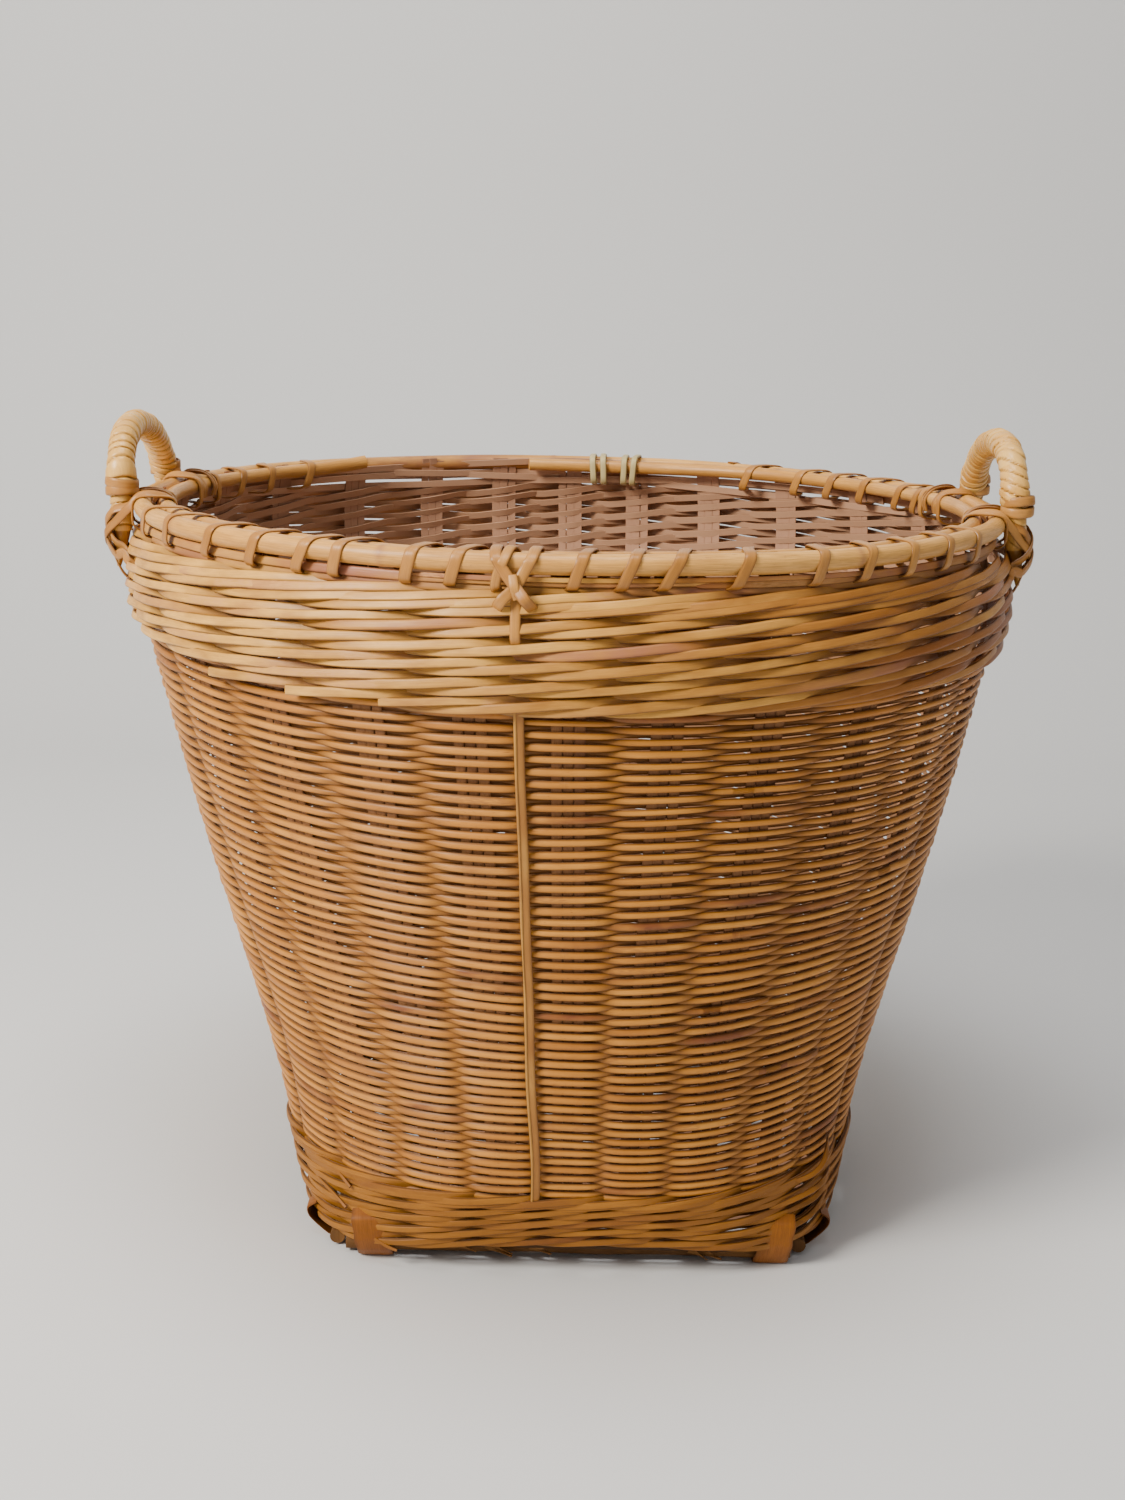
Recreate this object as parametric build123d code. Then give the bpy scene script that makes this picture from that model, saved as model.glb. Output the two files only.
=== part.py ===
from build123d import *
import math
import os

# Woven rattan basket with two bail handles. Millimetres, +Z up.
# The origin is under the middle of the basket, on the surface it stands on.
# The basket leans a little: its base sits right of its rim, as hand-made ones do.

# Driving dimensions
RIM_HEIGHT = 425.0            # centre of the rim rod above the floor
BASE_HALF = 143.5             # half width of the outer wall at the very bottom
FLARE = 123.0                 # how far the wall spreads from bottom to top
FLARE_POWER = 0.68            # the wall is steeper at the top
NECK_Z = 350.0                # above this the wall is drawn in to the rim
NECK_EASE = 33.3              # height over which the flare dies out
ROUND_AT = 0.5                # share of the height where the section has become a circle
CORNER_BOTTOM = 0.285         # corner radius over half width at the bottom
CORNER_MOST = 0.997           # the same where the section is round
BASE_SHIFT = 8.5              # base centre, right of the rim centre and the origin

STAKES_PER_SIDE = 7
STAKE_WIDTH = 17.0
STAKE_THICK = 2.0
STAKE_TOP = 429.0
STAKE_GATHER = 0.16           # stakes crowd towards the middle of a side, in columns
WEAVE_THICK = 4.0
SLAB_REACH = 30.0             # how far a cutting slab runs past the wall at both ends
GAP = 0.3                     # clearance between woven layers

MAT_Z = 12.0                  # underside of the base laths
LATH_THICK = 1.3
LOWER_BAND = (8.0, 57.0)      # heights of the lower wale
UPPER_BAND = (350.0, 411.8)   # heights of the upper wale
LOWER_PROUD = 3.0
UPPER_PROUD = (4.6, 3.0)      # at its edges, and the extra at its middle

OUTER_HOOP_R = 251.0
OUTER_HOOP_ROD = 5.3
UNDER_STRIP_R = (249.8, 252.6)
UNDER_STRIP_Z = (413.5, 418.3)   # a flat strip lies just under the outer rod
INNER_HOOP_R = 237.9
INNER_HOOP_ROD = 4.5
HOOP_GAP_FROM = 97.2          # the inner hoop's two ends at the back, degrees
HOOP_GAP_TO = 129.0
LASH_THICK = 1.2
LASH_WIDTH = 5.0
LASH_CLEAR = 0.3
LASH_CORNER = 5.0
LASH_SLANT = 14.0
LASH_PLACES = (0.36, 0.64)    # where strips pass between two stakes, in columns
LASH_KNOT_CLEAR = 4.5
LASH_LEG_CLEAR = (6.0, 20.0)
KNOT_SLANT = 28.0
KNOT_TAIL_Z = 358.0           # the knots' tails end here, on the upper wale

HANDLE_HALF = 58.0            # half the distance between the two legs
HANDLE_R = 263.2              # legs' distance from the rim's centre
HANDLE_CORE = 6.0
HANDLE_WRAP = 8.0
LEG_BOTTOM = 406.0
SHOULDER_Z = 462.0
CROWN_Z = 474.0
HANDLE_BENDS = (30.0, 120.0, 30.0)   # bend radii of the shoulders and the crown
LEAN_LEFT = 2.0               # how far the crown tips outwards
LEAN_RIGHT = -3.0
WRAP_BOTTOM = 437.0
WRAP_CLEAR = 0.1
CLAMP_Z = (413.0, 427.0)      # lower edges of the strips across each leg
CLAMP_CLEAR = 1.5             # between a leg's wrap and those strips

RIB_WIDTH = 5.5
RIB_THICK = 1.5
RIB_COLUMNS = {"front": -0.5, "right": 6.5, "back": 13.5, "left": -6.5}

BASE_ROD = 4.7
BASE_ROD_Z = 6.1
BASE_ROD_AT = 136.0
BASE_ROD_END = 130.0
STRAP_WIDTH = 20.0
STRAP_THICK = 1.2
STRAP_AT = 119.0
STRAP_CLEAR = 0.2
STRAP_TOPS = (11.0, 21.0)     # its ends inside the base rod, and outside on the lower wale

COLUMNS = 4 * STAKES_PER_SIDE


def wall(z):
    """Half width of the woven wall's outer face at a height."""
    if z <= NECK_Z:
        return BASE_HALF + FLARE * (max(z, 0.0) / RIM_HEIGHT) ** FLARE_POWER
    neck = BASE_HALF + FLARE * (NECK_Z / RIM_HEIGHT) ** FLARE_POWER
    slope = FLARE * FLARE_POWER * (NECK_Z / RIM_HEIGHT) ** (FLARE_POWER - 1) / RIM_HEIGHT
    rise = z - NECK_Z
    return neck + slope * rise - slope * rise * rise / (2 * NECK_EASE)


def corner_share(z):
    """Corner radius over half width: a rounded square that turns into a circle."""
    t = min(max(z / RIM_HEIGHT / ROUND_AT, 0.0), 1.0)
    return min(1.0 - (1.0 - CORNER_BOTTOM) * (1.0 - t) ** 4, CORNER_MOST)


def centre_x(z):
    return BASE_SHIFT * (1.0 - z / RIM_HEIGHT)


def section(z, offset):
    """The wall's outline at a height, moved out by offset."""
    half = wall(z) + offset
    corner = min(corner_share(z) * wall(z) + offset, CORNER_MOST * half)
    return Pos(centre_x(z), 0, z) * RectangleRounded(2 * half, 2 * half, corner)


def band_heights(low, high, steps):
    """Heights between two levels, closer together at the bottom where the wall curves."""
    return [low + (high - low) * (i / steps) ** 1.5 for i in range(steps + 1)]


def drum(low, high, steps, offset):
    """A solid plug with the wall's shape; offset is a function of height."""
    return loft([section(z, offset(z)) for z in band_heights(low, high, steps)])


def shell(low, high, steps, outer, inner):
    return drum(low, high, steps, outer) - drum(low, high, steps, inner)


def on_wall(column, z, offset=0.0):
    """A point on the wall: column 0 is the middle of the front, counted towards +X."""
    half = wall(z) + offset
    corner = min(corner_share(z) * wall(z) + offset, CORNER_MOST * half)
    straight = half - corner
    quarter = 2 * straight + math.pi / 2 * corner
    along = column / STAKES_PER_SIDE * quarter + straight
    side = math.floor(along / quarter)
    along -= side * quarter
    if along <= 2 * straight:
        x, y = along - straight, -half
    else:
        turn = (along - 2 * straight) / corner
        x = straight + corner * math.sin(turn)
        y = -straight - corner * math.cos(turn)
    swing = math.radians(90 * side)
    return (
        centre_x(z) + x * math.cos(swing) - y * math.sin(swing),
        x * math.sin(swing) + y * math.cos(swing),
    )


def stake_column(number):
    """Column of a stake, with the crowding towards the middle of its side."""
    return number - STAKE_GATHER * math.sin(2 * math.pi * number / STAKES_PER_SIDE)


def wall_slab(column, low, high, width):
    """An upright slab across the wall along one column's line, to cut layers with."""
    foot = Vector(*on_wall(column, MAT_Z))
    head = Vector(*on_wall(column, NECK_Z))
    angle = math.degrees(math.atan2(head.Y - foot.Y, head.X - foot.X))
    length = (head - foot).length + 2 * SLAB_REACH
    middle = (foot + head) * 0.5
    block = Box(length, width, high - low)
    return Pos(middle.X, middle.Y, (low + high) / 2) * Rot(0, 0, angle) * block


def stake_layer():
    outer = lambda z: -WEAVE_THICK - GAP
    inner = lambda z: -WEAVE_THICK - GAP - STAKE_THICK
    return shell(MAT_Z, STAKE_TOP, 12, outer, inner)


def splint(number, layer, along_x):
    """One lath under the base, turned up into a stake at both of its ends."""
    first = stake_column(number)
    swing = 3 * STAKES_PER_SIDE if along_x else 0
    ends = [swing + first, swing + 2 * STAKES_PER_SIDE - first]
    piece = None
    for column in ends:
        slab = wall_slab(column, MAT_Z, STAKE_TOP, STAKE_WIDTH)
        stake = layer & slab
        piece = stake if piece is None else piece + stake
    z = MAT_Z + LATH_THICK / 2 + (LATH_THICK + GAP if along_x else 0.0)
    inset = WEAVE_THICK + GAP + STAKE_THICK / 2
    a = Vector(*on_wall(ends[0], z, -inset))
    b = Vector(*on_wall(ends[1], z, -inset))
    angle = math.degrees(math.atan2(b.Y - a.Y, b.X - a.X))
    lath = Box((b - a).length, STAKE_WIDTH, LATH_THICK)
    middle = (a + b) * 0.5
    return piece + Pos(middle.X, middle.Y, z) * Rot(0, 0, angle) * lath


def radial(angle, shape):
    """Turn a shape drawn in the XZ plane, with X as radius, round the rim's axis."""
    return Rot(0, 0, angle) * shape


def lash_ring(angle, width, slant):
    """A strip bound once round both hoops, slanted off the radius by an angle."""
    low = INNER_HOOP_R - INNER_HOOP_ROD - LASH_CLEAR
    high = OUTER_HOOP_R + OUTER_HOOP_ROD + LASH_CLEAR
    span = (high - low) / math.cos(math.radians(slant))
    top = RIM_HEIGHT + OUTER_HOOP_ROD + LASH_CLEAR
    bottom = UNDER_STRIP_Z[0] - LASH_CLEAR
    hole = RectangleRounded(span, top - bottom, LASH_CORNER)
    outline = RectangleRounded(
        span + 2 * LASH_THICK, top - bottom + 2 * LASH_THICK, LASH_CORNER + LASH_THICK
    )
    band = outline - hole
    ring = extrude(Plane.XZ * band, width / 2, both=True)
    middle = (low + high) / 2
    return radial(angle, Pos(middle, 0, (top + bottom) / 2) * Rot(0, 0, slant) * ring)


def column_angle(column):
    return 270 + column * 360 / COLUMNS


def apart(a, b):
    """Smallest angle between two directions."""
    return abs((a - b + 180) % 360 - 180)


def rim_lashing():
    """One or two strips in each gap between stakes, left out at the knots and handle legs."""
    knots = [column_angle(RIB_COLUMNS["front"]), column_angle(RIB_COLUMNS["back"])]
    rings = []
    for gap in range(COLUMNS):
        for place in LASH_PLACES:
            angle = column_angle(gap + place)
            at_knot = min(apart(angle, k) for k in knots) < LASH_KNOT_CLEAR
            at_leg = LASH_LEG_CLEAR[0] < min(apart(angle, 0), apart(angle, 180)) < LASH_LEG_CLEAR[1]
            spare = gap % 3 == 1 and place > 0.5
            if not (at_knot or at_leg or spare):
                rings.append(lash_ring(angle, LASH_WIDTH, LASH_SLANT))
    return Compound(children=rings)


def laid_strip(column, low, high, steps, face):
    """A split cane laid up the outside of the weave along one column."""
    outer = lambda z: face(z) + GAP + RIB_THICK
    inner = lambda z: face(z) + GAP
    layer = shell(low, high, steps, outer, inner)
    return layer & wall_slab(column, low, high, RIB_WIDTH)


def upper_face(z):
    share = (z - UPPER_BAND[0]) / (UPPER_BAND[1] - UPPER_BAND[0])
    return UPPER_PROUD[0] + UPPER_PROUD[1] * math.sin(math.pi * share)


def knot(column):
    """Two strips crossed over the rim, with a tail down the upper wale."""
    angle = column_angle(column)
    rings = [lash_ring(angle, LASH_WIDTH, slant) for slant in (KNOT_SLANT, -KNOT_SLANT)]
    tail = laid_strip(column, KNOT_TAIL_Z, UPPER_BAND[1] - 1, 4, upper_face)
    return Compound(children=[rings[0] + rings[1], tail])


def hoop(radius, rod):
    return Pos(0, 0, RIM_HEIGHT) * Torus(radius, rod)


def under_strip():
    """The flat strip that lies round the stakes just under the outer rod."""
    height = UNDER_STRIP_Z[1] - UNDER_STRIP_Z[0]
    ring = Cylinder(UNDER_STRIP_R[1], height) - Cylinder(UNDER_STRIP_R[0], height)
    return Pos(0, 0, sum(UNDER_STRIP_Z) / 2) * ring


def inner_hoop():
    """A rod round the inside of the stakes that stops short of meeting itself."""
    arc = CenterArc((0, 0), INNER_HOOP_R, HOOP_GAP_TO, 360 - HOOP_GAP_TO + HOOP_GAP_FROM)
    rod = sweep(Plane(arc @ 0, z_dir=arc % 0) * Circle(INNER_HOOP_ROD), path=arc)
    return Pos(0, 0, RIM_HEIGHT) * rod


def handle_path(low):
    """Half-flat arch in the YZ plane: two upright legs and a crowned grip."""
    return FilletPolyline(
        (0, -HANDLE_HALF, low),
        (0, -HANDLE_HALF, SHOULDER_Z),
        (0, 0, CROWN_Z),
        (0, HANDLE_HALF, SHOULDER_Z),
        (0, HANDLE_HALF, low),
        radius=list(HANDLE_BENDS),
    )


def handle_bar(low, outer, hole):
    path = handle_path(low)
    start = Plane(path @ 0, z_dir=path % 0)
    bar = sweep(start * Circle(outer), path=path)
    if hole:
        bar = bar - sweep(start * Circle(hole), path=path)
    return bar


def place_handle(side, lean, shape):
    """Tip a handle out about its legs' ends and swing it to its side of the basket."""
    reach = math.sqrt(HANDLE_R ** 2 - HANDLE_HALF ** 2)
    tip = math.degrees(math.atan2(lean, CROWN_Z - LEG_BOTTOM))
    tipped = Pos(0, 0, LEG_BOTTOM) * Rot(0, tip, 0) * Pos(0, 0, -LEG_BOTTOM) * shape
    return radial(0 if side > 0 else 180, Pos(reach, 0, 0) * tipped)


def clamp(z):
    """A strip across the outside of a leg, back to the rim at both of its sides."""
    near = OUTER_HOOP_R + OUTER_HOOP_ROD + LASH_CLEAR + GAP
    far = HANDLE_R + HANDLE_WRAP + CLAMP_CLEAR
    half = HANDLE_WRAP + LASH_WIDTH + CLAMP_CLEAR
    depth = far - near + LASH_THICK
    outline = Pos(near + depth / 2, 0) * Rectangle(depth, 2 * half)
    hollow = Pos(near + depth / 2 - LASH_THICK, 0) * Rectangle(depth, 2 * (half - LASH_THICK))
    return Pos(0, 0, z) * extrude(outline - hollow, LASH_WIDTH)


def binding(side, end):
    """Strips round the rim either side of a leg, with two strips across the leg."""
    leg_angle = math.degrees(math.asin(HANDLE_HALF / HANDLE_R))
    middle = (0 if side > 0 else 180) + end * side * leg_angle
    spread = math.degrees((HANDLE_WRAP + LASH_WIDTH / 2 + CLAMP_CLEAR) / OUTER_HOOP_R)
    rings = [lash_ring(middle + s * spread, LASH_WIDTH, 0) for s in (-1, 1)]
    straps = [radial(middle, clamp(z)) for z in CLAMP_Z]
    return Compound(children=rings + straps)


def base_rod(turn, length):
    rod = Rot(0, 90, 0) * Cylinder(BASE_ROD, length)
    return Pos(centre_x(0), 0, 0) * Rot(0, 0, turn) * Pos(0, -BASE_ROD_AT, BASE_ROD_Z) * rod


def strap(turn, end):
    """A flat strip folded under one end of a base rod, then up over the lower wale's edge."""
    clear = STRAP_CLEAR + STRAP_THICK / 2
    near = BASE_ROD_AT - BASE_ROD - clear
    far = BASE_ROD_AT + BASE_ROD + clear
    under = STRAP_THICK / 2
    edge = LOWER_BAND[0] - 2 * clear
    face = LOWER_PROUD + clear
    fold = Polyline(
        (0, -near, STRAP_TOPS[0]),
        (0, -near, under),
        (0, -far, under),
        (0, -wall(edge) - face, edge),
        (0, -wall(STRAP_TOPS[1]) - face, STRAP_TOPS[1]),
    )
    strip = Plane(fold @ 0, x_dir=(1, 0, 0), z_dir=fold % 0) * Rectangle(STRAP_WIDTH, STRAP_THICK)
    folded = sweep(strip, path=fold, transition=Transition.RIGHT)
    return Pos(centre_x(0), 0, 0) * Rot(0, 0, turn) * Pos(end * STRAP_AT, 0, 0) * folded


def all_nodes():
    nodes = {}
    layer = stake_layer()
    half = STAKES_PER_SIDE // 2
    for i in range(-half, half + 1):
        nodes[f"splint_front_back_{i + half + 1}"] = splint(i, layer, False)
        nodes[f"splint_left_right_{i + half + 1}"] = splint(i, layer, True)
    low_face = lambda z: LOWER_PROUD
    side_face = lambda z: 0.0
    inside = lambda z: -WEAVE_THICK
    nodes["lower_wale"] = shell(LOWER_BAND[0], LOWER_BAND[1], 4, low_face, inside)
    side = (LOWER_BAND[1] + GAP, UPPER_BAND[0] - GAP)
    nodes["side_weave"] = shell(side[0], side[1], 8, side_face, inside)
    nodes["upper_wale"] = shell(UPPER_BAND[0], UPPER_BAND[1], 6, upper_face, inside)
    for name, column in RIB_COLUMNS.items():
        nodes[f"rib_{name}"] = laid_strip(column, side[0], side[1], 8, side_face)
    short = BASE_ROD_AT - BASE_ROD - GAP
    base_sides = (("front", BASE_ROD_END), ("right", short), ("back", BASE_ROD_END), ("left", short))
    for quarter, (name, half_length) in enumerate(base_sides):
        turn = 90 * quarter
        nodes[f"base_rod_{name}"] = base_rod(turn, 2 * half_length)
        nodes[f"strap_{name}_a"] = strap(turn, -1)
        nodes[f"strap_{name}_b"] = strap(turn, 1)
    nodes["rim_outer_hoop"] = hoop(OUTER_HOOP_R, OUTER_HOOP_ROD)
    nodes["rim_under_strip"] = under_strip()
    nodes["rim_inner_hoop"] = inner_hoop()
    nodes["rim_lashing"] = rim_lashing()
    nodes["knot_front"] = knot(RIB_COLUMNS["front"])
    nodes["knot_back"] = knot(RIB_COLUMNS["back"])
    for name, side, lean in (("left", -1, LEAN_LEFT), ("right", 1, LEAN_RIGHT)):
        core = handle_bar(LEG_BOTTOM, HANDLE_CORE, 0)
        wrap = handle_bar(WRAP_BOTTOM, HANDLE_WRAP, HANDLE_CORE + WRAP_CLEAR)
        nodes[f"handle_{name}_core"] = place_handle(side, lean, core)
        nodes[f"handle_{name}_wrap"] = place_handle(side, lean, wrap)
        for place, end in (("front", -1), ("rear", 1)):
            nodes[f"handle_{name}_binding_{place}"] = binding(side, end)
    return nodes


os.makedirs("parts", exist_ok=True)
low = [1e9] * 3
high = [-1e9] * 3
for node, shape in all_nodes().items():
    export_step(shape, f"parts/{node}.step")
    box = shape.bounding_box()
    low = [min(a, b) for a, b in zip(low, tuple(box.min))]
    high = [max(a, b) for a, b in zip(high, tuple(box.max))]
print("box", [round(v, 2) for v in low], [round(v, 2) for v in high])
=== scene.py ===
import math

import bpy
import numpy as np
from mathutils import Matrix, Vector


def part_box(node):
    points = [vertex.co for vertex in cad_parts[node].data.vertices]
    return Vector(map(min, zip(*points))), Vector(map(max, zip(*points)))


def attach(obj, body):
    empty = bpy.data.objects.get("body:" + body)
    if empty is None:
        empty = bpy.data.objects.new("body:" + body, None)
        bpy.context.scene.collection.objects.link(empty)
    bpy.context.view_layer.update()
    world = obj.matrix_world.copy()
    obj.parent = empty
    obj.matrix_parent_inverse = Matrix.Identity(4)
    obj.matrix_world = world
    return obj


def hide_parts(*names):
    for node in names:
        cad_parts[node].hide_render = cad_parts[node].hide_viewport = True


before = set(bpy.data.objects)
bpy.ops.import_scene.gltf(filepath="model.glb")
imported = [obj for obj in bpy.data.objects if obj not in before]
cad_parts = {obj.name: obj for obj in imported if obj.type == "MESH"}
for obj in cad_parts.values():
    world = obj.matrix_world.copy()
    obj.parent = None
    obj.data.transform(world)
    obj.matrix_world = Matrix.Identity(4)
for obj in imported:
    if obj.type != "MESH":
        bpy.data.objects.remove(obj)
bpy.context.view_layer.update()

# A woven rattan basket. Shapes are worked out in millimetres and written in metres.
MM = 0.001
TAU = 2 * math.pi


def box_mm(node):
    low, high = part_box(node)
    return np.array(low) / MM, np.array(high) / MM


# Sizes read from the frame
HOOP_LOW, HOOP_HIGH = box_mm("rim_outer_hoop")
INNER_LOW, INNER_HIGH = box_mm("rim_inner_hoop")
RIM_Z = (HOOP_LOW[2] + HOOP_HIGH[2]) / 2
HOOP_ROD = (HOOP_HIGH[2] - HOOP_LOW[2]) / 2
HOOP_R = (HOOP_HIGH[0] - HOOP_LOW[0]) / 2 - HOOP_ROD
INNER_ROD = (INNER_HIGH[2] - INNER_LOW[2]) / 2
INNER_R = -INNER_LOW[1] - INNER_ROD
LOWER_Z = [v[2] for v in box_mm("lower_wale")]
SIDE_Z = [v[2] for v in box_mm("side_weave")]
UPPER_Z = [v[2] for v in box_mm("upper_wale")]
UNDER_Z = [v[2] for v in box_mm("rim_under_strip")]
ROD_LOW, ROD_HIGH = box_mm("base_rod_front")
BASE_ROD = (ROD_HIGH[2] - ROD_LOW[2]) / 2
BASE_ROD_Z = (ROD_HIGH[2] + ROD_LOW[2]) / 2
BASE_ROD_AT = -(ROD_HIGH[1] + ROD_LOW[1]) / 2
BASE_X = (ROD_HIGH[0] + ROD_LOW[0]) / 2
STRAP_LOW, STRAP_HIGH = box_mm("strap_front_b")
STRAP_AT = (STRAP_LOW[0] + STRAP_HIGH[0]) / 2 - BASE_X
STRAP_WIDTH = STRAP_HIGH[0] - STRAP_LOW[0]
MAT_Z = box_mm("splint_front_back_4")[0][2]
CORE_LOW, CORE_HIGH = box_mm("handle_right_core")

# The wall's shape, the same formula as the CAD model's
BASE_HALF = 143.5
FLARE = 123.0
FLARE_POWER = 0.68
NECK_Z = 350.0
NECK_EASE = 33.3
ROUND_AT = 0.5
CORNER_BOTTOM = 0.285
CORNER_MOST = 0.997
PER_SIDE = 7
HALF_SIDE = PER_SIDE // 2
COLUMNS = 4 * PER_SIDE
GATHER = 0.16                  # how far stakes crowd towards the middle of a side, in columns

# Cane sizes
STAKE_STRIP = 5.5
STAKE_THICK = 1.1
STAKE_DEPTH = 3.3              # stake centre, inside the wall's outer face
WEAVER_WIDTH = (3.4, 3.95)     # where it dives, and on a float
WEAVER_THICK = 1.8
WEAVER_SWING = 2.0
STEPS = 10                     # samples from stake to stake

RIB_COLUMNS = {"front": -0.5, "right": 6.5, "back": 13.5, "left": -6.5}
GAP_ENDS = (97.2, 129.0)       # degrees, the inner rod's two ends at the back

# Cross-sections as shares of a strip's width and thickness, outer face up
HALF_ROUND = [(-0.5, -0.5), (0.5, -0.5), (0.5, -0.05), (0.33, 0.33), (0, 0.5), (-0.33, 0.33),
              (-0.5, -0.05)]
FLAT = [(-0.47, -0.5), (0.47, -0.5), (0.5, -0.3), (0.49, 0.1), (0.37, 0.45), (0.2, 0.5), (-0.2, 0.5),
        (-0.37, 0.45), (-0.49, 0.1), (-0.5, -0.3)]


def ring_profile(count):
    return [(0.5 * math.cos(TAU * i / count), 0.5 * math.sin(TAU * i / count)) for i in range(count)]


# ---------------- Wall shape

def wall(z):
    """Half width of the wall's outer face at a height."""
    z = np.asarray(z, float)
    low = BASE_HALF + FLARE * (np.clip(z, 0.5, NECK_Z) / RIM_Z) ** FLARE_POWER
    slope = FLARE * FLARE_POWER * (NECK_Z / RIM_Z) ** (FLARE_POWER - 1) / RIM_Z
    rise = np.clip(z - NECK_Z, 0, None)
    return low + slope * rise - slope * rise * rise / (2 * NECK_EASE)


def corner_share(z):
    """Corner radius as a share of the half width. It reaches 1, a circle, at ROUND_AT."""
    rise = clamp(z / RIM_Z / ROUND_AT)
    return 1 - (1 - CORNER_BOTTOM) * (1 - rise) ** 4


def centre_x(z):
    """The foot stands a little to one side of the rim's axis."""
    return BASE_X * (1.0 - np.asarray(z, float) / RIM_Z)


def on_wall(column, z, offset=0.0):
    """Points on the wall and its outward direction in plan. Column 0 is mid-front."""
    column, z, offset = np.broadcast_arrays(np.asarray(column, float), z, offset)
    base = wall(z)
    half = base + offset
    corner = np.minimum(np.minimum(corner_share(z), CORNER_MOST) * base + offset, CORNER_MOST * half)
    straight = half - corner
    quarter = 2 * straight + math.pi / 2 * corner
    along = column / PER_SIDE * quarter + straight
    side = np.floor(along / quarter)
    along = along - side * quarter
    turn = np.clip(along - 2 * straight, 0, None) / corner
    flat = along <= 2 * straight
    x = np.where(flat, along - straight, straight + corner * np.sin(turn))
    y = np.where(flat, -half, -straight - corner * np.cos(turn))
    swing = side * math.pi / 2
    c, s = np.cos(swing), np.sin(swing)
    nx, ny = np.sin(turn), -np.cos(turn)
    point = np.stack([centre_x(z) + x * c - y * s, x * s + y * c, z], -1)
    lean = (wall(z + 1.0) - wall(z - 1.0)) / 2
    out = np.stack([nx * c - ny * s, nx * s + ny * c, -lean], -1)
    return point, unit(out)


def column_width(z):
    """Distance between neighbouring columns at a height."""
    share = np.minimum(corner_share(z), CORNER_MOST)
    half = wall(z)
    return (8 * half * (1 - share) + TAU * half * share) / COLUMNS


def stake_column(number):
    """Stakes crowd a little towards the middle of each side."""
    return number - GATHER * np.sin(TAU * np.asarray(number, float) / PER_SIDE)


def column_angle(column):
    return math.radians(270 + column * 360 / COLUMNS)


def clamp(value):
    """Held between 0 and 1."""
    return np.clip(value, 0, 1)


def unit(v):
    return v / np.maximum(np.linalg.norm(v, axis=-1, keepdims=True), 1e-9)


class Wander:
    """A smooth random curve of about -1 to 1, from a few sines."""

    def __init__(self, seed, period, terms=5, first=1):
        rng = np.random.default_rng(seed)
        self.waves = [(first + i, rng.uniform(0, TAU), rng.uniform(0.5, 1)) for i in range(terms)]
        self.period = period
        self.size = sum(w[2] for w in self.waves) * 0.55

    def __call__(self, u):
        u = np.asarray(u, float)
        total = sum(a * np.sin(TAU * k * u / self.period + p) for k, p, a in self.waves)
        return total / self.size


# ---------------- Mesh making

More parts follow.
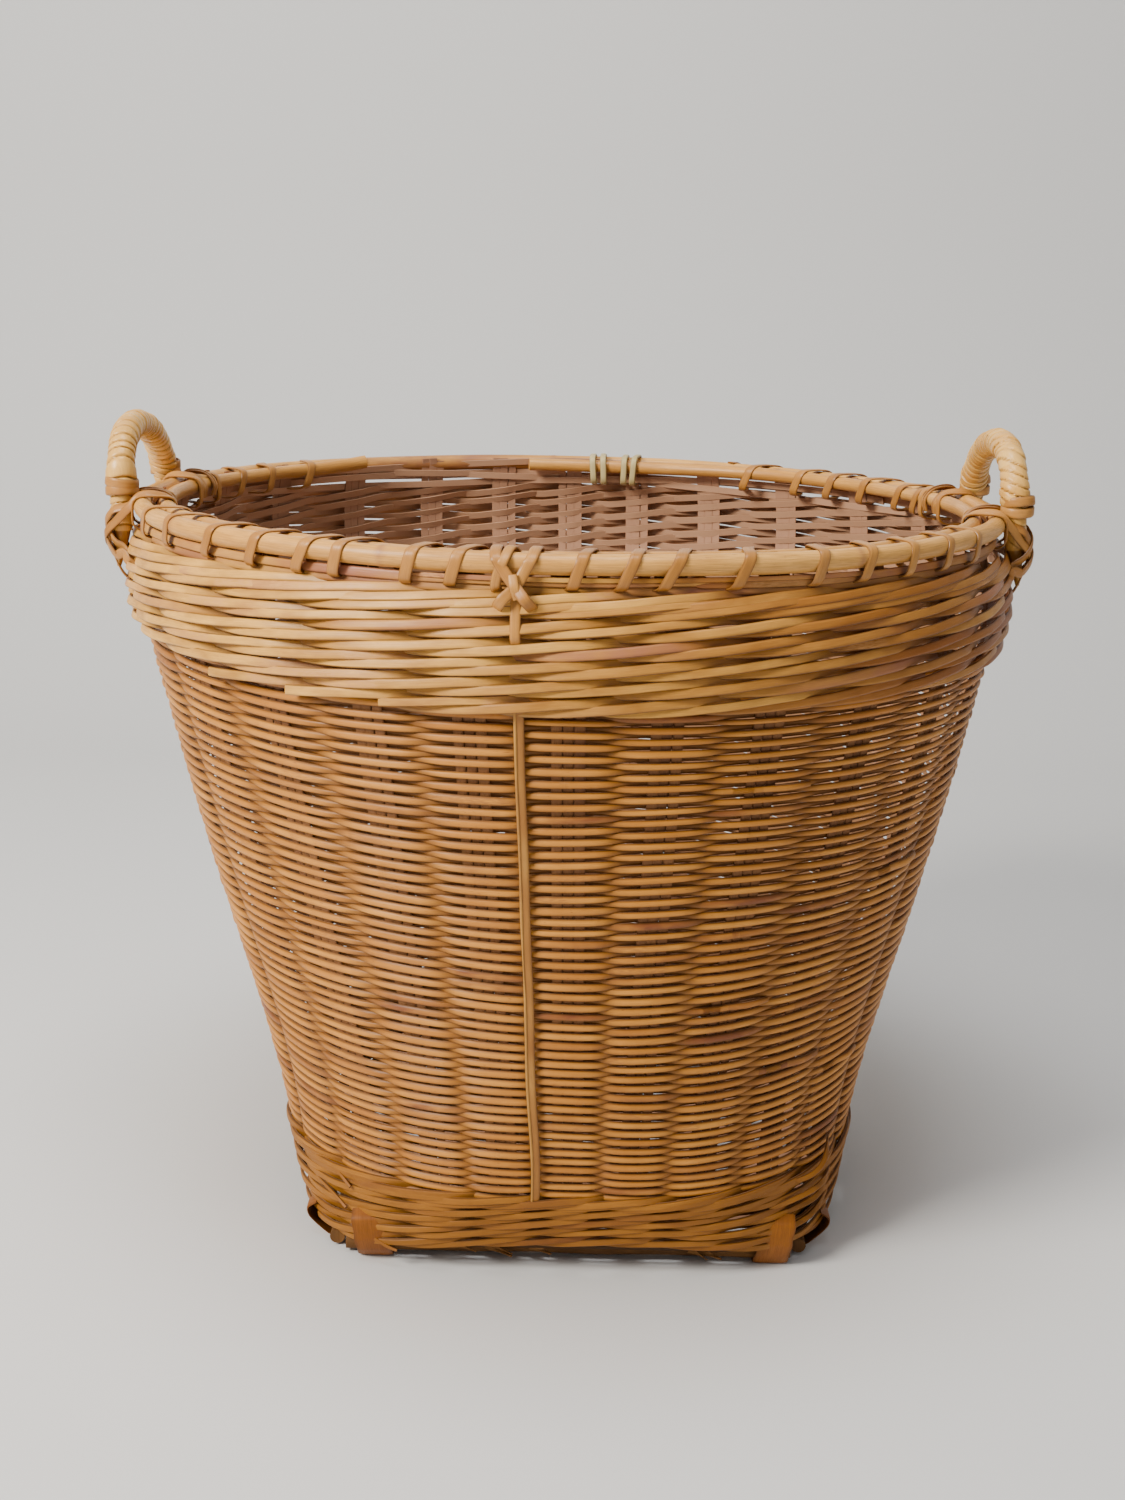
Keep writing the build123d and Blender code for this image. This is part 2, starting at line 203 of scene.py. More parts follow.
class Bundle:
    """Gathers swept strips and rods into one mesh, with their colouring data."""

    def __init__(self):
        self.points, self.quads, self.caps, self.strip, self.tone = [], [], [], [], []
        self.count = 0

    def sweep(self, path, out, width, thick, profile, tone=0.5, stain=0.0, seed=0.0,
              closed=False, twist=0.0, swell=None, shade=1.0):
        """Sweep a profile along a path. out is the strip's outward side at each point.

        The strip attribute holds the way along it, the way across it and its seed. The tone
        attribute holds tone, stain, height in the profile and painted shade, 1 where it lies
        open.
        """
        path = np.asarray(path, float)
        n = len(path)
        if closed:
            tangent = unit(np.roll(path, -1, 0) - np.roll(path, 1, 0))
            gap = np.linalg.norm(np.roll(path, -1, 0) - path, axis=1)
        else:
            tangent = unit(np.gradient(path, axis=0))
            gap = np.linalg.norm(np.diff(path, axis=0, append=path[-1:]), axis=1)
        run = np.concatenate([[0], np.cumsum(gap)[:-1]])
        out = np.broadcast_to(out, path.shape)
        out = unit(out - tangent * np.sum(out * tangent, 1, keepdims=True))
        side = np.cross(tangent, out)
        shape_x, shape_y = np.array(profile).T
        m = len(shape_x)
        width, thick, twist, tone, stain = (
            np.broadcast_to(np.asarray(v, float), (n,)) for v in (width, thick, twist, tone, stain)
        )
        shade = np.asarray(shade, float)
        shade = np.broadcast_to(shade if shade.ndim == 2 else shade.reshape(-1, 1), (n, m))
        cos, sin = np.cos(twist)[:, None], np.sin(twist)[:, None]
        across = width[:, None] * shape_x
        up = thick[:, None] * shape_y
        if swell is not None:
            across, up = across * swell, up * swell
        sideways, outwards = across * cos - up * sin, across * sin + up * cos
        points = path[:, None] + sideways[..., None] * side[:, None] + outwards[..., None] * out[:, None]
        here = np.arange(n if closed else n - 1)[:, None]
        left = np.arange(m)[None]
        ahead, right = (here + 1) % n, (left + 1) % m
        corners = [here * m + left, ahead * m + left, ahead * m + right, here * m + right]
        quads = np.stack(corners, -1).reshape(-1, 4)
        self.quads.append(quads + self.count)
        if not closed:
            self.caps.append(np.arange(m) + self.count)
            self.caps.append(np.arange(m)[::-1] + self.count + (n - 1) * m)
        self.points.append(points.reshape(-1, 3))
        around = np.broadcast_to(across, (n, m)) if swell is None else across
        strip = np.stack([
            np.broadcast_to(run[:, None], (n, m)), around, np.full((n, m), seed)], -1)
        self.strip.append(strip.reshape(-1, 3))
        colour = np.stack([
            np.broadcast_to(tone[:, None], (n, m)), np.broadcast_to(stain[:, None], (n, m)),
            np.broadcast_to(shape_y, (n, m)) + 0.5, shade], -1)
        self.tone.append(colour.reshape(-1, 4))
        self.count += n * m

    def build(self, name, material, nodes):
        """Makes the mesh and hides the CAD nodes it stands for."""
        mesh = bpy.data.meshes.new(name)
        points = np.concatenate(self.points) * MM
        quads = np.concatenate(self.quads)
        sizes = [4] * len(quads) + [len(c) for c in self.caps]
        corners = np.concatenate([quads.ravel()] + self.caps)
        mesh.vertices.add(len(points))
        mesh.vertices.foreach_set("co", points.ravel())
        mesh.loops.add(len(corners))
        mesh.loops.foreach_set("vertex_index", corners.astype(np.int32))
        mesh.polygons.add(len(sizes))
        starts = np.concatenate([[0], np.cumsum(sizes)[:-1]]).astype(np.int32)
        mesh.polygons.foreach_set("loop_start", starts)
        mesh.update(calc_edges=True)
        mesh.validate()
        mesh.shade_smooth()
        mesh.set_sharp_from_angle(angle=math.radians(40))
        strip = mesh.attributes.new("strip", "FLOAT_VECTOR", "POINT")
        strip.data.foreach_set("vector", (np.concatenate(self.strip) * [MM, MM, 1]).ravel())
        tone = mesh.attributes.new("tone", "FLOAT_COLOR", "POINT")
        tone.data.foreach_set("color", np.concatenate(self.tone).ravel())
        mesh.materials.append(material)
        piece = bpy.data.objects.new(name, mesh)
        bpy.context.scene.collection.objects.link(piece)
        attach(piece, "root")
        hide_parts(*nodes)
        return piece


# ---------------- Materials

def cane(name, light, deep, stain, roughness=0.5, coat=0.0, grain=0.35, node_marks=True, back=None,
         edge=0.0):
    """Split rattan: fibre grain along the strip, tone from strip to strip, stains and nodes.

    edge paints shade on the strip's sides, for the shadow lines between neighbouring strips, and back is
    the colour of its inner face. The tone attribute's shade channel paints shade where a strip dives behind
    others.
    """
    material = bpy.data.materials.new(name)
    material.use_nodes = True
    tree = material.node_tree
    make, link = tree.nodes.new, tree.links.new
    shader = tree.nodes["Principled BSDF"]
    strip = make("ShaderNodeAttribute")
    strip.attribute_name = "strip"
    tone = make("ShaderNodeAttribute")
    tone.attribute_name = "tone"
    split = make("ShaderNodeSeparateColor")
    link(tone.outputs["Color"], split.inputs[0])

    def mapped(scale):
        node = make("ShaderNodeMapping")
        node.inputs["Scale"].default_value = scale
        link(strip.outputs["Vector"], node.inputs["Vector"])
        return node.outputs[0]

    def noise(scale, detail=3.0, rough=0.6):
        node = make("ShaderNodeTexNoise")
        node.inputs["Scale"].default_value = 1.0
        node.inputs["Detail"].default_value = detail
        node.inputs["Roughness"].default_value = rough
        link(mapped(scale), node.inputs["Vector"])
        return node.outputs[0]

    def mix(factor, a, b, mode="MIX"):
        node = make("ShaderNodeMix")
        node.data_type = "RGBA"
        node.blend_type = mode
        for value, where in ((factor, 0), (a, 6), (b, 7)):
            if isinstance(value, (int, float)):
                node.inputs[where].default_value = value
            elif isinstance(value, tuple):
                node.inputs[where].default_value = (*value, 1.0)
            else:
                link(value, node.inputs[where])
        return node.outputs[2]

    def ramp(value, low, high, top=1.0):
        node = make("ShaderNodeMapRange")
        node.inputs["From Min"].default_value = low
        node.inputs["From Max"].default_value = high
        node.inputs["To Max"].default_value = top
        link(value, node.inputs["Value"])
        return node.outputs[0]

    fibre = noise((70, 2600, 17), 4.0, 0.65)
    patch = noise((28, 90, 31), 3.0)
    flecks = noise((260, 1500, 7), 2.0)
    dive_shade = make("ShaderNodeMapRange")
    dive_shade.inputs["From Min"].default_value = 1.0
    dive_shade.inputs["From Max"].default_value = 0.0
    link(tone.outputs["Alpha"], dive_shade.inputs["Value"])
    base = mix(split.outputs[0], light, deep)
    base = mix(ramp(patch, 0.35, 0.7, 0.55), base, tuple(c * 0.72 for c in deep))
    base = mix(ramp(fibre, 0.3, 0.75, grain), base, tuple(c * 0.55 for c in deep))
    base = mix(ramp(flecks, 0.66, 0.74, 0.5), base, stain)
    stained = make("ShaderNodeMath")
    stained.operation = "MULTIPLY"
    link(split.outputs[1], stained.inputs[0])
    link(ramp(patch, 0.25, 0.6), stained.inputs[1])
    base = mix(stained.outputs[0], base, stain)
    if node_marks:
        wave = make("ShaderNodeTexNoise")
        wave.inputs["Scale"].default_value = 1.0
        wave.inputs["Detail"].default_value = 0.0
        link(mapped((9, 0, 3.7)), wave.inputs["Vector"])
        mark = make("ShaderNodeMath")
        mark.operation = "MULTIPLY"
        link(ramp(wave.outputs[0], 0.665, 0.69, 0.9), mark.inputs[0])
        link(ramp(flecks, 0.35, 0.6), mark.inputs[1])
        base = mix(mark.outputs[0], base, tuple(0.6 * a + 0.4 * b for a, b in zip(stain, light)))
    # Painted shade: darker where the tone attribute's shade channel says the strip dives behind others
    base = mix(dive_shade.outputs[0], base, tuple(c * 0.30 for c in deep))
    # Painted shade on the strip's sides, for the shadow lines between neighbouring strips
    base = mix(ramp(split.outputs[2], 0.92, 0.55, edge), base, tuple(c * 0.25 for c in deep))
    if back is not None:
        base = mix(ramp(split.outputs[2], 0.5, 0.05, 0.85), base, back)
    link(base, shader.inputs["Base Color"])
    shader.inputs["Specular IOR Level"].default_value = 0.26
    shader.inputs["Coat Weight"].default_value = coat
    shader.inputs["Coat Roughness"].default_value = 0.3
    link(ramp(fibre, 0.2, 0.8, 1.0), rough_node(make, link, shader, roughness))
    bump = make("ShaderNodeBump")
    bump.inputs["Strength"].default_value = 0.35
    bump.inputs["Distance"].default_value = 0.0004
    link(fibre, bump.inputs["Height"])
    link(bump.outputs[0], shader.inputs["Normal"])
    return material


def rough_node(make, link, shader, middle):
    """A range for roughness around its middle value; returns the input to drive."""
    node = make("ShaderNodeMapRange")
    node.inputs["To Min"].default_value = middle - 0.1
    node.inputs["To Max"].default_value = middle + 0.15
    link(node.outputs[0], shader.inputs["Roughness"])
    return node.inputs["Value"]


TAUPE = (0.37, 0.195, 0.10)
WEAVE = cane("cane_golden", (0.80, 0.34, 0.05), (0.52, 0.18, 0.017), (0.17, 0.045, 0.02),
             roughness=0.46, coat=0.08, back=TAUPE, edge=0.75)
BAND = cane("cane_straw", (0.97, 0.52, 0.105), (0.33, 0.098, 0.006), (0.40, 0.15, 0.09),
            roughness=0.40, coat=0.1, back=(0.60, 0.34, 0.20), edge=0.9)
FOOT = cane("cane_amber", (0.45, 0.178, 0.017), (0.24, 0.082, 0.007), (0.15, 0.042, 0.010),
            roughness=0.50, back=TAUPE, edge=0.85)
# The stakes' outer face shows only in the gaps between floats: its colour is the cane's own darkened with
# painted shade, and back, the inner face, is lighter
STAKE = cane("cane_inner", (0.34, 0.15, 0.05), (0.22, 0.09, 0.03), (0.12, 0.045, 0.02),
             roughness=0.6, grain=0.45, back=(0.50, 0.27, 0.16))
RIM = cane("rattan_rod", (1.0, 0.54, 0.145), (0.68, 0.29, 0.045), (0.34, 0.14, 0.06),
           roughness=0.38, coat=0.2, grain=0.8)
LASH = cane("cane_lashing", (0.72, 0.34, 0.075), (0.40, 0.15, 0.022), (0.28, 0.12, 0.04),
            roughness=0.38, coat=0.2, grain=0.45, edge=0.6)
TIE = cane("cane_tie", (0.66, 0.53, 0.26), (0.50, 0.38, 0.14), (0.30, 0.2, 0.1),
           roughness=0.42, coat=0.1, grain=0.3, edge=0.5)
GRIP = cane("cane_grip", (1.0, 0.60, 0.17), (0.76, 0.36, 0.055), (0.42, 0.18, 0.05),
            roughness=0.32, coat=0.3, grain=0.4)
RIB = cane("cane_rib", (0.62, 0.30, 0.055), (0.34, 0.12, 0.015), (0.22, 0.07, 0.02),
           roughness=0.45, coat=0.1, edge=0.5)
STRAP = cane("cane_strap", (0.50, 0.18, 0.014), (0.27, 0.078, 0.005), (0.13, 0.04, 0.01),
             roughness=0.50, grain=1.0, node_marks=False, edge=0.5)
DARK = cane("rod_dark", (0.36, 0.16, 0.04), (0.15, 0.062, 0.014), (0.03, 0.016, 0.008),
            roughness=0.7, grain=0.6, node_marks=False)


# ---------------- Side weave

def sway(row, column):
    """Swing of a plain-weave row: long floats, with a quick dive half way between stakes."""
    return np.tanh(1.9 * np.cos(math.pi * column) * (1.0 if row % 2 == 0 else -1.0)) / math.tanh(1.9)


def true_column(column):
    """Moves an even column count to where the stakes really stand."""
    return column - GATHER * np.sin(TAU * column / PER_SIDE)


RISE = [Wander(101 + k, COLUMNS, 6) for k in range(4)]


def drift(column, z):
    """Slow sag and rise that neighbouring rows share."""
    t = z / RIM_Z
    return 1.5 * RISE[0](column + 9 * t) + 1.1 * RISE[1](column - 13 * t) * np.sin(7 * t)


ROW_GAP = (2.72, 0.46)         # row spacing at the foot, and how much it grows by
LOW_HEIGHT = 170               # the rows below this are closer and darker


def side_rows():
    """Heights of the plain-weave rows, closer together near the bottom."""
    rows = []
    z = SIDE_Z[0] - 4.0
    while z < SIDE_Z[1] + 9.5:
        rows.append(z)
        z += ROW_GAP[0] + ROW_GAP[1] * min(1.0, z / LOW_HEIGHT)
    return rows


def airy(column, z):
    """1 where the weave is loosest: high up on the right of the front."""
    across = np.cos(TAU * (column - 3.6) / COLUMNS)
    return clamp(across * 2.2 - 1.1) * clamp((z - 225) / 60)


def weave_row(bundle, row, z, rng):
    """One round of plain weave. Every fifth is left open, its ends overlapping."""
    closed = row % 5 != 2
    start = rng.integers(0, COLUMNS) if closed else float(rng.integers(0, 14) * 2 + row % 2)
    count = int(COLUMNS * STEPS) + (0 if closed else STEPS)
    u = start - (0 if closed else 0.4) + np.arange(count) / STEPS
    swing = sway(row, u)
    wobble = Wander(1000 + row, COLUMNS, 7, 2)
    lift = Wander(3000 + row, COLUMNS, 9, 6)
    low_down = max(0.0, 1 - z / LOW_HEIGHT)
    height = z + drift(u, z) + (0.30 * wobble(u) + 0.14 * lift(u)) * (1 - 0.6 * low_down)
    bulge = 1 + 0.20 * Wander(5000 + row, COLUMNS, 8, 5)(u)
    offset = -WEAVER_THICK / 2 - WEAVER_SWING + WEAVER_SWING * swing * bulge
    if not closed:
        offset = offset + 1.7 * clamp((u - start - COLUMNS) / 0.2)
    point, out = on_wall(true_column(u), height, offset)
    out = unit(out + [0, 0, 0.22])
    size = (1 + 0.06 * rng.normal()) * (1 - 0.17 * airy(u, z))
    width = (WEAVER_WIDTH[0] + (WEAVER_WIDTH[1] - WEAVER_WIDTH[0]) * np.abs(swing)) * size
    width = width * (1 + 0.07 * low_down + 0.06 * wobble(u + 3))
    tone = clamp(rng.normal(0.34, 0.22) + 0.32 * low_down + 0.14 * lift(u))
    stain = np.zeros(count)
    for _ in range(rng.poisson(1.3)):
        middle = rng.uniform(0, COLUMNS)
        reach = rng.uniform(0.6, 3.0)
        away = np.abs((u - middle + COLUMNS / 2) % COLUMNS - COLUMNS / 2)
        stain = np.maximum(stain, rng.uniform(0.3, 1.0) * clamp(1.3 - away / reach))
    # Painted shade: the row is darkened where it dives behind the stakes
    shade = np.clip(0.35 + 0.75 * swing, 0.08, 1)
    bundle.sweep(point, out, width, WEAVER_THICK, HALF_ROUND, tone, stain, row * 1.37, closed,
                 0.10 * lift(u + 5), shade=shade)


def side_weave():
    rng = np.random.default_rng(7)
    rows = side_rows()
    group = 8                  # rows to a piece
    for first in range(0, len(rows), group):
        bundle = Bundle()
        for row in range(first, min(first + group, len(rows))):
            weave_row(bundle, row, rows[row], rng)
        bundle.build(f"side_weave_rows_{first // group + 1:02d}", WEAVE, ["side_weave"])


# ---------------- Wales

def saw(phase, knots, values):
    """A smooth periodic curve over three stakes, through the given values."""
    fine = np.arange(0, 3, 0.02)
    line = np.interp(fine, knots, values, period=3)
    kernel = np.hanning(17)
    kernel /= kernel.sum()
    smooth = np.convolve(np.tile(line, 3), kernel, "same")[len(fine):2 * len(fine)]
    return np.interp(phase % 3, fine, smooth, period=3)


def level_off(height, top, ease=2.5):
    """Holds a rising height under a top, turning level softly."""
    return top - ease * np.log1p(np.exp((top - height) / ease))


def wale(name, material, starts, heights, pitch, turns, width, thick, proud, rise, arch, darker,
         seed):
    """Three strands wound in a rising spiral, each over two stakes and behind one."""
    rng = np.random.default_rng(seed)
    for strand, start in enumerate(starts):
        bundle = Bundle()
        u = start + np.arange(int(turns * COLUMNS * STEPS)) / STEPS
        phase = u - strand
        swing = saw(phase, [0, 0.42, 0.85, 1.5, 2.15, 2.58], [0, 0.40, 0.93, 1.08, 0.93, 0.40])
        lift = saw(phase, [0, 0.45, 1, 1.5, 2, 2.55], [2.0, -1.2, 0.3, 2.5, 4.9, 5.8])
        base = level_off(heights[0] + pitch * (u - min(starts)) / COLUMNS, heights[1])
        wobble = Wander(seed + strand, COLUMNS * 7.3, 12, 30)
        slow = Wander(seed + 11 + strand, COLUMNS * 7.3, 8, 5)
        z = base + rise * lift + 0.55 * wobble(u) + 0.45 * slow(u) + drift(u, base) * 0.5
        middle = (0.5 + 0.5 * np.cos(TAU * u / PER_SIDE)) ** 0.6
        z = z + arch * clamp(1.2 - (base - heights[0]) / 30) * middle
        outer = proud(z)
        inner = -STAKE_DEPTH - STAKE_THICK / 2 - thick / 2 - 0.3
        offset = inner + (outer - thick / 2 - inner) * swing + 0.45 * wobble(u + 40)
        point, out = on_wall(true_column(u), z, offset)
        out = unit(out + [0, 0, 0.34])
        # Painted shade: the strand is darkened where it dives behind the stakes
        shade = np.clip(0.25 + 1.0 * swing, 0.35, 1)
        size = width * (1 + 0.09 * slow(u + 9) + 0.06 * wobble(u + 77))
        tone = 0.40 + 0.28 * slow(u + 31) + 0.2 * wobble(u + 11) + darker * np.sin(TAU * u / COLUMNS)
        stain = np.clip(1.3 * wobble(u + 23) - 0.45, 0, 0.8)
        twist = 0.10 * wobble(u + 60)
        bundle.sweep(point, out, size, thick, FLAT, clamp(tone), stain, rng.uniform(0, 50),
                     twist=twist, shade=shade)
        bundle.build(f"{name}_strand_{strand + 1}", material, [name])


def upper_proud(z):
    """How far the upper band stands out from the wall; most at its middle."""
    share = clamp((z - UPPER_Z[0]) / (UPPER_Z[1] - UPPER_Z[0]))
    return 4.4 + 3.0 * np.sin(math.pi * share)


def upper_wale():
    wale("upper_wale", BAND, starts=(-1.8, -3.6, -2.7),
         heights=(UPPER_Z[0] + 2.2, UPPER_Z[1] - 7.2), pitch=9.6, turns=6.5, width=4.9, thick=1.7,
         proud=upper_proud, rise=1.0, arch=0.0, darker=0.50, seed=41)
    filler()


FILLER = (
    # height, from column, over columns
    (415.5, 9.6, 9.2), (420.0, 14.1, 5.6), (424.5, 12.6, 5.6), (411.2, 9.1, 10.6),
)


def filler():
    """Short strips close the top of the back wall, where the inner rod is left open."""
    bundle = Bundle()
    for i, (z, first, span) in enumerate(FILLER):
        u = first + np.arange(int(span * STEPS)) / STEPS
        wobble = Wander(380 + i, 40, 5, 3)
        swing = np.cos(math.pi * (u + i)) * 1.9
        offset = -STAKE_DEPTH + swing - 0.3
        height = z + 1.6 * np.sin(math.pi * (u - first) / 2.8) * (-1) ** i + 0.7 * wobble(u)
        point, out = on_wall(true_column(u), height, offset)
        bundle.sweep(point, out, 4.6, 1.3, FLAT, clamp(0.5 + 0.4 * wobble(u)), 0.2, 3.0 + i)
    bundle.build("upper_wale_filler", BAND, ["upper_wale"])


def lower_proud(z):
    """The lower band stands out evenly."""
    return np.full_like(z, 2.8)


def lower_wale():
    wale("lower_wale", FOOT, starts=(-5.4, -3.9, -4.6),
         heights=(LOWER_Z[0] + 4.8, LOWER_Z[1] - 6.0), pitch=9.2, turns=5.9, width=4.4, thick=1.8,
         proud=lower_proud, rise=0.9, arch=7.0, darker=0.10, seed=61)
    shadow_lining()


def shadow_lining():
    """Six plain rounds inside the stakes at the very foot, behind the band. Their colour is painted shadow:
    dark cane, darkened further, so they show as the shaded gap above the base rod.
    """
    bundle = Bundle()
    column = np.arange(COLUMNS * STEPS) / STEPS
    for row in range(6):
        wobble = Wander(670 + row, COLUMNS, 8, 3)
        height = MAT_Z - 2.2 + 2.9 * row + 0.3 * wobble(column)
        point, out = on_wall(column, height, -STAKE_DEPTH - (5.4 if row == 0 else 3.2))
        tone = clamp(0.6 + 0.3 * wobble(column + 5))
        bundle.sweep(point, out, 3.6, 1.8, HALF_ROUND, tone, 0.2, 4.0 + row, True, shade=0.2)
    bundle.build("lower_wale_shadow_lining", DARK, ["lower_wale"])


STRAYS = (
    # from column, over columns, from height, climb, stand-off
    (2.9, 1.5, 40.0, 9.0, 6.5), (3.1, 1.2, 33.0, 12.0, 5.0), (2.7, 1.7, 24.0, 10.0, 4.0),
    (3.3, 0.9, 52.0, 16.0, 7.5), (-4.3, 1.1, 44.0, -12.0, 3.5), (-3.9, 0.8, 55.0, -7.0, 4.0),
    (-3.2, 0.8, 20.0, -6.0, 3.0),
)


def strays():
    """Loose strands round the lower corners: the first four bulge, the others stick out."""
    bundle = Bundle()
    for i, (first, span, low, climb, stand) in enumerate(STRAYS):
        t = np.linspace(0, 1, 34)
        loose_end = i > 3
        free = t ** 1.5 if loose_end else np.sin(math.pi * np.minimum(t * 1.05, 1))
        height = low + climb * t + 1.5 * np.sin(5 * t + i)
        point, out = on_wall(first + span * t, height, 1.0 + stand * free)
        width = 3.4 * (1 - 0.5 * t * loose_end)
        bundle.sweep(point, out, width, 1.4, FLAT, 0.3 + 0.08 * i, 0.1, 5.0 + i, twist=1.2 * free)
    bundle.build("lower_wale_strays", FOOT, ["lower_wale"])


# ---------------- Stakes and base mat

def smooth_path(points, step, passes):
    """Even steps along a polyline, with its corners rounded off."""
    points = np.asarray(points, float)
    run = np.concatenate([[0], np.cumsum(np.linalg.norm(np.diff(points, axis=0), axis=1))])
    even = np.linspace(0, run[-1], max(int(run[-1] / step), 4))
    line = np.stack([np.interp(even, run, points[:, k]) for k in range(3)], -1)
    for _ in range(passes):
        line[1:-1] = 0.25 * line[:-2] + 0.5 * line[1:-1] + 0.25 * line[2:]
    return line


def splint_path(ends, lane, sign, along_x, spots, rng):
    """One strip: down the wall, woven through the mat, and up the wall opposite."""
    legs = []
    for end, flip in zip(ends, (1, -1)):
        top = RIM_Z + rng.uniform(0.5, 4.5)
        z = np.arange(top, MAT_Z + 7, -4.0)
        column = end + flip * lane * STAKE_STRIP * 1.04 / column_width(z) + 0.004 * rng.normal()
        legs.append(on_wall(column, z, -STAKE_DEPTH + 0.25 * abs(lane))[0])
    start, end = legs[0][-1], legs[1][-1]
    t = np.linspace(0.07, 0.93, 60)[:, None]
    floor = start * (1 - t) + end * t
    reach = floor[:, 0] - BASE_X if along_x else floor[:, 1]
    weave = np.cos(math.pi * np.interp(reach, spots, np.arange(-HALF_SIDE, HALF_SIDE + 1)))
    floor[:, 2] = MAT_Z + 1.6 + 0.95 * sign * weave
    return smooth_path(np.concatenate([legs[0], floor, legs[1][::-1]]), 3.0, 3)


def splint(number, along_x, spots, rng):
    bundle = Bundle()
    first = float(stake_column(number))
    ends = (3 * PER_SIDE + first, 5 * PER_SIDE - first) if along_x else (first, 2 * PER_SIDE - first)
    sign = (1 if number % 2 == 0 else -1) * (-1 if along_x else 1)
    for lane in (-1, 0, 1):
        path = splint_path(ends, lane, sign, along_x, spots, rng)
        low = clamp((path[:, 2] - MAT_Z - 2) / 10)[:, None]
        radial = path * [1, 1, 0] - [BASE_X * 0.5, 0, 0]
        out = unit(unit(radial) * low + np.array([0, 0, -1.0]) * (1.02 - low))
        wobble = Wander(900 + number * 7 + lane + 60 * along_x, 900, 6, 2)
        run = np.arange(len(path)) * 3.0
        tone = clamp(rng.uniform(0.2, 0.8) + 0.2 * wobble(run))
        stain = np.clip(wobble(run + 200) - 0.2, 0, 0.6)
        width = STAKE_STRIP * (1 + 0.05 * wobble(run + 90))
        bundle.sweep(path, out, width, STAKE_THICK, FLAT, tone, stain, rng.uniform(0, 90))
    kind = "left_right" if along_x else "front_back"
    name = f"splint_{kind}_{number + HALF_SIDE + 1}"
    bundle.build(f"{name}_strips", STAKE, [name])


def splints():
    """Seven splints each way, every one three strips wide and a stake at both ends."""
    rng = np.random.default_rng(23)
    numbers = np.arange(-HALF_SIDE, HALF_SIDE + 1)
    spots = stake_column(numbers) * column_width(MAT_Z)
    for number in range(-HALF_SIDE, HALF_SIDE + 1):
        for along_x in (False, True):
            splint(number, along_x, spots, rng)


# ---------------- Rim

def ring_path(radius, z, start, end, count, wobble, size):
    """A ring or arc round the rim's axis, slightly out of true."""
    angle = np.linspace(start, end, count, endpoint=abs(end - start) < TAU - 1e-6)
    r = radius + size * wobble(angle)
    h = z + size * wobble(angle + 2)
    out = np.stack([np.cos(angle), np.sin(angle), 0 * angle], -1)
    path = out * r[:, None]
    path[:, 2] = h
    return path, out, angle


def rod_swell(angle, sides, seed, size):
    """Faint ridges and hollows along a peeled rod."""
    around = TAU * np.arange(sides) / sides
    first = Wander(seed, TAU, 9, 4)
    second = Wander(seed + 1, TAU, 9, 7)
    first, second = first(angle)[:, None], second(angle)[:, None]
    return 1 + size * (first * np.cos(around * 2) + second * np.cos(around * 3 + 1))


def near(angle, middle, reach):
    """1 at an angle of the rim, fading to 0 within a reach."""
    away = np.abs((angle - middle + math.pi) % TAU - math.pi)
    return clamp(1.4 * (1 - away / reach))


ROD_JOINTS = (0.55, 1.62, 2.7, 3.75, 4.35, 5.31, 6.1)   # the outer rod's nodes, in radians


def outer_rod():
    bundle = Bundle()
    path, out, angle = ring_path(HOOP_R, RIM_Z, 0, TAU, 1200, Wander(5, TAU, 7, 2), 0.5)
    joint = sum(np.exp(-((angle - a) / 0.008) ** 2) for a in ROD_JOINTS)
    size = 2 * HOOP_ROD * (1 + 0.025 * Wander(6, TAU, 8, 5)(angle) + 0.04 * joint)
    tone = clamp(0.35 + 0.35 * Wander(8, TAU, 6, 3)(angle))
    # Near the inner rod's open ends the outer rod is darkened through its stain colour: partly its duller
    # inner side seen through the gap, partly painted shade
    gap = near(angle, math.radians((GAP_ENDS[0] + GAP_ENDS[1]) / 2), 0.36)
    stain = clamp(joint * 0.7 + gap)
    swell = rod_swell(angle, 18, 12, 0.025)
    bundle.sweep(path, out, size, size, ring_profile(18), tone, stain, 3.1, True, swell=swell)
    bundle.build("rim_outer_rod", RIM, ["rim_outer_hoop"])


def inner_rod():
    """Open at the back. One end rises free of the wall and is splintered."""
    bundle = Bundle()
    start, end = math.radians(GAP_ENDS[1] - 1.5), math.radians(GAP_ENDS[0] + 360)
    path, out, angle = ring_path(INNER_R, RIM_Z, start, end, 1000, Wander(15, TAU, 7, 2), 0.6)
    loose = clamp(1 - (angle - start) / 0.22)
    path[:, 2] += 3.4 * loose ** 2
    path -= out * (2.5 * loose ** 2)[:, None]
    size = 2 * INNER_ROD * (1 + 0.03 * Wander(16, TAU, 8, 5)(angle))
    tone = clamp(0.5 + 0.35 * Wander(17, TAU, 6, 3)(angle))
    swell = rod_swell(angle, 14, 19, 0.03)
    bundle.sweep(path, out, size, size * (1 - 0.35 * loose), ring_profile(14), tone, 0.12, 8.2, swell=swell)
    for i in range(7):
        tip = path[0] + np.array([0, 0, 1.6 - 0.55 * i])
        back = path[5] + np.array([0, 0, 1.2 - 0.5 * i])
        reach = tip + (tip - back) * (0.12 + 0.09 * ((i * 5) % 4))
        splinter = smooth_path([back, tip, reach + [0, 0, 0.5 * (i % 3) - 0.5]], 0.8, 2)
        bundle.sweep(splinter, out[0], np.linspace(1.3, 0.4, len(splinter)), 0.6, FLAT, 0.3, 0.0, 20 + i)
    bundle.build("rim_inner_rod", RIM, ["rim_inner_hoop"])


UNDER_TURNS = (
    # from and to in radians, height above the middle, stand-off, share of the width
    (-1.35, 1.72, 0.0, 0.0, 1.0), (1.62, 4.98, 0.5, 0.2, 1.0), (3.55, 5.9, -3.6, -0.6, 1.0),
    (4.4, 5.35, 1.6, 0.9, 0.55),
)


